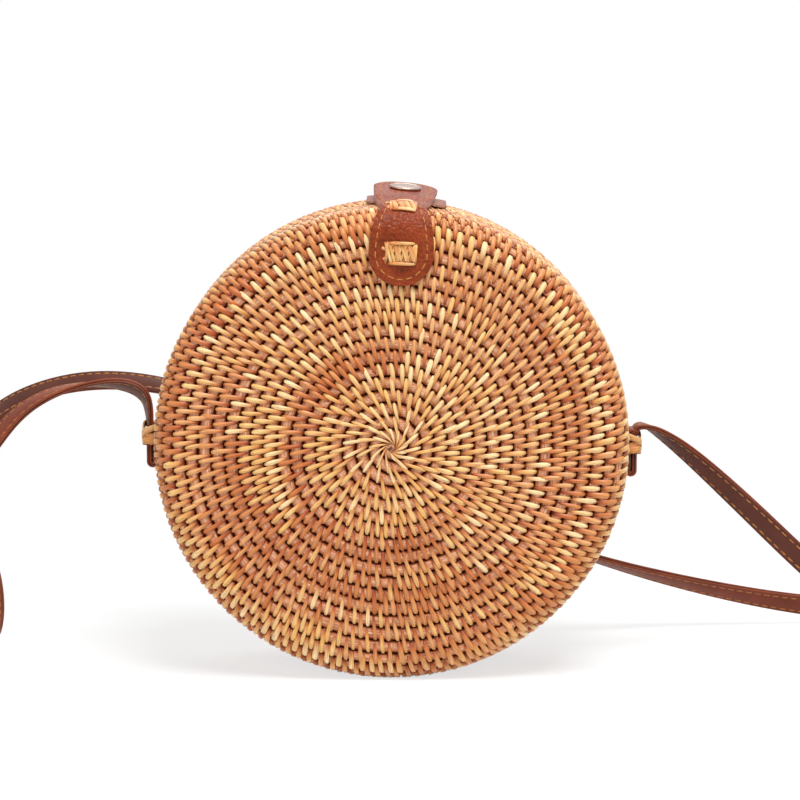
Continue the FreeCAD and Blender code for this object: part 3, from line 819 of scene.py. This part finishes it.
cap_bm = turn_cap()
cap_turn = Vector((0, 0, 1)).rotation_difference(normal_on(on_tab, 0, snap_along)).to_matrix()
bmesh.ops.rotate(cap_bm, verts=cap_bm.verts, cent=(0, 0, 0), matrix=cap_turn)
bmesh.ops.translate(cap_bm, verts=cap_bm.verts, vec=on_tab(0, snap_along, leather))
cap = place_piece(cap_bm, "snap_cap_shell", nickel, "tab_flap")
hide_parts("snap_cap")
for node in ("snap_socket", "snap_stud", "stud_post"):
    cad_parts[node].data.materials.clear()
    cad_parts[node].data.materials.append(nickel)

# Keeper patch: a thinner piece of the same hide, tied to the rear rim with rattan. It carries the snap's
# stud, and its two front corners droop a little.
keeper_turn = math.radians(3.6)
keeper_half_width = 17 * mm
keeper_front_y = -8 * mm
keeper_back_y = 33 * mm
keeper_corner = 5 * mm
keeper_leather = 1.0 * mm
keeper_lift = 0.5 * mm
keeper_droop = 0.7 * mm
droop_length = 12 * mm
keeper_wall = half_depth - rim_rounding
keeper_bend = math.asin((keeper_back_y - keeper_wall) / rim_rounding)
keeper_length = keeper_wall - keeper_front_y + rim_rounding * keeper_bend


def keeper_half(along):
    """Half the keeper's width at a distance from its front edge."""
    half = keeper_half_width
    for left in (along, keeper_length - along):
        if left < keeper_corner:
            half += math.sqrt(max(keeper_corner ** 2 - (keeper_corner - left) ** 2, 0)) - keeper_corner
    return half


def on_keeper(x, along, lift):
    """Point over the keeper's underside, from its front edge back and round the rear rim."""
    radius, depth, lean = bowl_profile(rim_end + keeper_wall - keeper_front_y - along)
    corner = max(abs(x) / keeper_half_width - 0.55, 0) * (1 - smooth_step(along, 0, droop_length))
    lift += keeper_lift - keeper_droop * corner
    radius += lift * math.sin(lean)
    depth += lift * math.cos(lean)
    height = radius - math.sin(lean) * (bag_radius - math.sqrt(bag_radius ** 2 - x ** 2))
    return swing(x, depth, height, keeper_turn)


keeper_cut = cut_leather(on_keeper, keeper_half, keeper_length, keeper_corner, keeper_corner, keeper_leather)
keeper = place_piece(keeper_cut, "keeper_leather", cowhide, "rear_half")
dress_leather(keeper, keeper_leather)
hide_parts("keeper_patch")
keeper_tie_along = keeper_wall - keeper_front_y + rim_rounding * math.radians(18)
keeper_crosses = cross_ties(on_keeper, keeper_tie_along, 11.5 * mm, 8.5 * mm, keeper_leather, 3, 5)
keeper_ties = place_piece(keeper_crosses, "keeper_ties", rattan, "rear_half")
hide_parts("keeper_stitch")

# Strap ends: each end of the strap is folded up on itself against the side of the rear bowl, grain side
# out, and bound there with a few turns of flat rattan.
strap_width = 10 * mm
strap_thickness = 2.2 * mm
fold_gap = 0.7 * mm
fold_drop = 11 * mm
end_rise = 6 * mm
exit_rise = 3 * mm
strap_y = 9 * mm
inner_leg = bag_radius + 0.3 * mm + strap_thickness / 2
outer_leg = inner_leg + strap_thickness + fold_gap
fold_radius = (outer_leg - inner_leg) / 2
curl_radius = 2.2 * mm
strap_seam_inset = 1.7 * mm
groove_half = 0.45 * mm
groove_depth = 0.16 * mm
edge_rounding = 0.35 * mm
slit_half = 0.32 * mm
slit_depth = 0.42 * mm
bulge = 0.06 * mm


def ribbon(stations):
    """Two sewn plies along stations, with rounded edges, a slit between them and a groove under each seam."""
    half_width = strap_width / 2
    half_thick = strap_thickness / 2
    seam = half_width - strap_seam_inset
    right = [(seam - groove_half, half_thick), (seam, half_thick - groove_depth),
             (seam + groove_half, half_thick), (half_width - edge_rounding, half_thick)]
    left = [(-across, through) for across, through in reversed(right)]
    upper = left + [(0, half_thick + bulge)] + right
    ply = [(half_width - bulge, half_thick - slit_half), (half_width, slit_half)]
    other_ply = [(across, -through) for across, through in reversed(ply)]
    edge = ply + [(half_width - slit_depth, 0)] + other_ply
    lower = [(-across, -through) for across, through in upper]
    other_edge = [(-across, -through) for across, through in edge]
    outline = upper + edge + lower + other_edge
    bm, place = start_mesh("place")
    corner = bm.verts.layers.int.new("corner")
    point, across, through = stations[0]
    ring = []
    for index, (a, b) in enumerate(outline):
        vert = bm.verts.new(point + across * a + through * b)
        vert[corner] = index
        vert[place] = (a / mm, 0, b / mm)
        ring.append(vert)
    edges = [bm.edges.new((first, second)) for first, second in zip(ring, ring[1:] + ring[:1])]
    travelled = 0
    for (last, _, _), (point, across, through) in zip(stations, stations[1:]):
        travelled += (point - last).length
        grown = bmesh.ops.extrude_edge_only(bm, edges=edges)["geom"]
        edges = [item for item in grown if isinstance(item, bmesh.types.BMEdge)]
        for vert in grown:
            if isinstance(vert, bmesh.types.BMVert):
                a, b = outline[vert[corner]]
                vert.co = point + across * a + through * b
                vert[place] = (a / mm, travelled / mm, b / mm)
    bmesh.ops.holes_fill(bm, edges=[e for e in bm.edges if e.is_boundary], sides=0)
    bmesh.ops.recalc_face_normals(bm, faces=bm.faces)
    return bm


# Strap leather: smooth drum-dyed hide, darker on the upper face, reddish on the under one, with painted shade
# that makes it nearly black in the slit between the plies
hide, tree, shader = finish("dyed_strap_hide", roughness=0.46, specular_ior_level=0.2)
parts = carried(tree, "place")
face_height = strap_thickness / (2 * mm)
plies = span(tree, parts.outputs["Z"], -face_height, face_height)
# painted shade: the nearly black band in the middle of the ramp darkens the slit between the plies
face = ramp(tree, plies, (0.05, "#74341F"), (0.2, "#84401F"), (0.38, "#7A3419"),
            (0.45, "#180A06"), (0.55, "#180A06"), (0.62, "#7A3419"), (0.8, "#743519"), (0.95, "#552A1E"))
cloud = ramp(tree, noise(tree, 14 * mm, 2.0), (0.3, 0.8), (0.7, 1.12))
paint(shader, multiply(tree, face, cloud))
emboss(tree, shader, noise(tree, 0.9 * mm, 3.0), 0.1 * mm, 0.5)


def stations_along(points, leans):
    """Point, way of the width and way of the upper face at each point of a line."""
    stations = []
    for index, (point, lean) in enumerate(zip(points, leans)):
        way = points[min(index + 1, len(points) - 1)] - points[max(index - 1, 0)]
        way.normalize()
        across = (lean - way * lean.dot(way)).normalized()
        stations.append((point, across, way.cross(across)))
    return stations


def folded_end(side, lug_z, curl):
    """Stations of a folded strap end, from its inner leg's top down round the fold and up to the strap."""
    line = []
    for step in range(9):
        angle = curl * (1 - step / 8)
        line.append((inner_leg + curl_radius * (1 - math.cos(angle)),
                     lug_z + end_rise - curl_radius + curl_radius * math.sin(angle)))
    line.append((inner_leg, lug_z - fold_drop * 0.5))
    for step in range(13):
        angle = math.pi * (1 - step / 12)
        line.append((inner_leg + fold_radius * (1 + math.cos(angle)),
                     lug_z - fold_drop - fold_radius * math.sin(angle)))
    line.append((outer_leg, lug_z - fold_drop * 0.4))
    line.append((outer_leg, lug_z + exit_rise))
    points = [Vector((side * x, strap_y, z)) for x, z in line]
    return stations_along(points, [Vector((0, 1, 0))] * len(points))


wrap_strip = 2.7 * mm
wrap_thickness = 0.7 * mm
wrap_squareness = 0.7
slant_run = 6 * mm
tie_half_x = (outer_leg - bag_radius + strap_thickness) / 2 + 0.5 * mm
tie_half_y = strap_width / 2 + 1.1 * mm


def wind_tie(side, lug_z):
    """Flat strips of rattan wound round both legs of a folded end, each at its own slant."""
    bm, strand = start_mesh("strand")
    bands = ((2.3 * mm, 0.3, 1.0, 0.55), (-2.5 * mm, -0.2, 1.02, 0.34), (0.7 * mm, -0.46, 1.1, 0.85),
             (-0.9 * mm, 0.16, 1.05, 0.62))
    for number, (offset, slant, grow, tone) in enumerate(bands):
        made = bmesh.ops.create_grid(bm, x_segments=36, y_segments=3, size=0.5)["verts"]
        for vert in made:
            x_share, y_share = squarish(math.tau * vert.co.x, wrap_squareness)
            x = bag_radius + tie_half_x + (tie_half_x - 0.4 * mm) * grow * x_share
            z = lug_z + offset + vert.co.y * wrap_strip + slant * slant_run * (y_share + 0.5 * x_share)
            vert[strand] = (tone, 0.3 * y_share, 9 * number + vert.co.y * wrap_strip / mm)
            vert.co = (side * max(x, bag_radius + 0.2 * mm), strap_y + tie_half_y * grow * y_share, z)
    return close_up(bm)


for side_name, side, curl in (("left", -1, 0.5), ("right", 1, 2.6)):
    lug_low, lug_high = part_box(side_name + "_tie")
    lug_z = (lug_low[2] + lug_high[2]) / 2
    fold = ribbon(folded_end(side, lug_z, curl))
    folded = place_piece(fold, side_name + "_folded_end", hide, "rear_half")
    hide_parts(side_name + "_strap_end")
    tie = place_piece(wind_tie(side, lug_z), side_name + "_cane_tie", rattan, "rear_half")
    thicken(tie, "cane", wrap_thickness)
    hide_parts(side_name + "_tie")

# Strap: two plies of leather glued face to face and sewn along both edges with ochre thread. It leaves the
# left folded end, loops out of view, passes behind the bag and comes back round to the right folded end.
# The route gives points in mm and the way of the width there.
strap_stitch = 3.3 * mm
strap_stitch_pitch = 4.3 * mm
strap_thread_radius = 0.33 * mm
thread_sink = 0.12 * mm
strap_route = [
    ((-104.3, 9, 101.15), (0, 1, 0)),
    ((-104.3, 9, 110), (-0.3, 1, 0)),
    ((-107.5, 9.8, 117), (-0.4, 0.8, -0.4)),
    ((-116.5, 10.2, 120.4), (-0.2, 0.85, -0.5)),
    ((-131, 10.8, 120.2), (0, 1, -0.14)),
    ((-147, 11.6, 116.2), (-0.1, 0.95, 0.2)),
    ((-161, 12.6, 108), (-0.3, 0.85, 0.35)),
    ((-174, 14, 93), (-0.55, 0.7, 0.4)),
    ((-186, 16, 76), (-0.8, 0.5, 0.2)),
    ((-188, 18, 57), (-1, 0.2, 0)),
    ((-177, 20, 40), (-1, 0.1, 0)),
    ((-175, 24, 19), (-1, 0, 0)),
    ((-180, 40, 1.5), (-1, 0, 0)),
    ((-188, 63, 1.4), (-1, -0.3, 0)),
    ((-199, 85, 1.5), (-1, -0.4, 0)),
    ((-208, 103, 11), (-1, -0.2, 0)),
    ((-212, 111, 34), (-0.9, 0.3, 0)),
    ((-207, 111, 62), (-0.6, 0.8, 0.1)),
    ((-193, 104, 88), (-0.3, 0.75, 0.5)),
    ((-167, 91, 105.6), (0, 0.65, 0.75)),
    ((-131, 75, 114.6), (0, 0.75, 0.65)),
    ((-90, 59, 111), (0, 0.9, 0.4)),
    ((-45, 48.5, 94), (0, 1, 0.25)),
    ((0, 45, 73), (0, 1, 0)),
    ((46, 46.5, 52.5), (0, 1, -0.15)),
    ((90, 56, 34.6), (0, 0.95, -0.35)),
    ((136, 68, 20), (0, 0.75, -0.65)),
    ((182, 76, 9.5), (0, 0.45, -0.9)),
    ((222, 78, 5.4), (0, 0, -1)),
    ((250, 62, 5.4), (0, 0, -1)),
    ((254, 36, 5.4), (0, 0, -1)),
    ((238, 16, 5.8), (0, 0, -1)),
    ((212, 9, 13), (-0.4, 0.1, -0.9)),
    ((180, 9, 41), (-0.62, 0.15, -0.72)),
    ((150, 9.4, 70), (-0.6, 0.45, -0.62)),
    ((128, 9.6, 90), (-0.45, 0.75, -0.5)),
    ((115, 9.4, 99.5), (-0.2, 0.95, -0.3)),
    ((108, 9.2, 102.6), (0, 1, 0)),
    ((104.3, 9, 101), (0, 1, 0)),
    ((104.3, 9, 97.15), (0, 1, 0)),
]
curve = bpy.data.curves.new("strap_line", "CURVE")
curve.dimensions = "3D"
spline = curve.splines.new("NURBS")
spline.points.add(len(strap_route) - 1)
for point, (place, _) in zip(spline.points, strap_route):
    point.co = (*(value * mm for value in place), 1)
spline.order_u = 3
spline.use_endpoint_u = True
spline.resolution_u = 8
strap_line = bpy.data.objects.new("strap_line", curve)
line_mesh = bpy.data.meshes.new_from_object(strap_line)
strap_path = [vert.co.copy() for vert in line_mesh.vertices]
bpy.data.objects.remove(strap_line)


def strap_leans():
    """Way of the width at each point of the strap's line, eased between those of the route."""
    spans = len(strap_route) - 2
    leans = [Vector(lean).normalized() for _, lean in strap_route]
    eased = []
    for index in range(len(strap_path)):
        travel = spans * index / (len(strap_path) - 1)
        first = min(int(travel), spans - 1)
        rest = travel - first
        eased.append(leans[first] * (0.5 * (1 - rest) ** 2) + leans[first + 1] * (0.5 + rest * (1 - rest))
                     + leans[first + 2] * (0.5 * rest ** 2))
    return eased


stations = stations_along(strap_path, strap_leans())
strap = place_piece(ribbon(stations), "strap_ribbon", hide, "rear_half")
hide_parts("strap")
for edge_name, edge_side in (("near", -1), ("far", 1)):
    for face_name, face_side in (("upper", 1), ("under", -1)):
        inset = edge_side * (strap_width / 2 - strap_seam_inset)
        raised = face_side * (strap_thickness / 2 - thread_sink)
        line = [(point + across * inset + through * raised, through * face_side)
                for point, across, through in stations]
        sewing = sew_line(line, strap_stitch, strap_stitch_pitch, strap_thread_radius)
        seam_name = f"strap_seam_{edge_name}_{face_name}"
        place_piece(sewing, seam_name, thread, "rear_half")

# Studio: a white floor that takes a soft shadow but is mostly clear to the eye, so that the half that
# swings down past it stays in sight, a white sky, soft lamps and a camera set like the photograph's.
floor_size = 12.0
floor_drop = 0.2 * mm
clear_near = 0.7
clear_from = 0.2
clear_to = 0.45
sky_light = 0.36
horizon_blur = 0.01
camera_tilt = 7.97


def looking(tree, rays):
    """1 for the rays that look: those from the camera, mirrored or let through."""
    seen = rays.outputs["Is Camera Ray"]
    for kind in ("Is Glossy Ray", "Is Transmission Ray"):
        seen = add(tree, "Math", [(0, seen), (1, rays.outputs[kind])], operation="MAXIMUM").outputs["Value"]
    return seen


paper = bpy.data.materials.new("white_paper")
paper.use_nodes = True
tree = paper.node_tree
tree.nodes.clear()
rays = add(tree, "LightPath")
matt = add(tree, "BsdfDiffuse", [("Color", linear("#F4F4F4"))])
clear = add(tree, "BsdfTransparent", [("Color", linear("#FFFFFF"))])
spot = add(tree, "TexCoord")
away = add(tree, "VectorMath", [(0, spot.outputs["Object"])], operation="LENGTH")
fade = span(tree, away.outputs["Value"], clear_from, clear_to, clear_near)
seen = add(tree, "Math", [(0, looking(tree, rays)), (1, fade)], operation="MULTIPLY")
passed = add(tree, "Math", [(0, seen.outputs["Value"]), (1, rays.outputs["Is Shadow Ray"])],
             operation="MAXIMUM")
mixed = add(tree, "MixShader", [("Fac", passed.outputs["Value"]), (1, matt.outputs["BSDF"]),
                                (2, clear.outputs["BSDF"])])
add(tree, "OutputMaterial", [("Surface", mixed.outputs["Shader"])])
bm = bmesh.new()
bmesh.ops.create_grid(bm, x_segments=1, y_segments=1, size=floor_size / 2)
bmesh.ops.translate(bm, verts=bm.verts, vec=(0, 0, -floor_drop))
floor = show(bm, "floor", paper)

world = bpy.data.worlds.new("studio")
scene.world = world
world.use_nodes = True
tree = world.node_tree
tree.nodes.clear()
rays = add(tree, "LightPath")
spot = add(tree, "TexCoord")
bearing = add(tree, "SeparateXYZ", [("Vector", spot.outputs["Generated"])])
above = span(tree, bearing.outputs["Z"], -horizon_blur, horizon_blur, 0.0, sky_light)
level = span(tree, looking(tree, rays), 0.0, 1.0, above)
sky = add(tree, "Background", [("Color", linear("#FFFFFF")), ("Strength", level)])
add(tree, "OutputWorld", [("Surface", sky.outputs["Background"])])

for lamp_name, lamp_place, lamp_size, lamp_watts in (
    ("key", (0.28, -0.62, 1.55), 0.8, 29),
    ("fill", (-0.95, -0.95, 0.75), 1.0, 4),
    ("back", (0.1, 0.9, 1.3), 0.9, 7),
):
    lamp = bpy.data.lights.new(lamp_name, "AREA")
    lamp.shape = "DISK"
    lamp.size = lamp_size
    lamp.energy = lamp_watts
    lamp_object = bpy.data.objects.new(lamp_name, lamp)
    lamp_object.location = lamp_place
    aim = Vector((0, 0, axis_height)) - Vector(lamp_place)
    lamp_object.rotation_euler = aim.to_track_quat("-Z", "Y").to_euler()
    scene.collection.objects.link(lamp_object)

camera = bpy.data.cameras.new("camera")
camera.sensor_width = 36
camera.lens = 129.56
camera_object = bpy.data.objects.new("camera", camera)
camera_object.location = (0.00352, -1.2188, 0.28515)
camera_object.rotation_euler = (math.radians(90 - camera_tilt), 0, 0)
scene.collection.objects.link(camera_object)
scene.camera = camera_object
scene.view_settings.view_transform = "Standard"
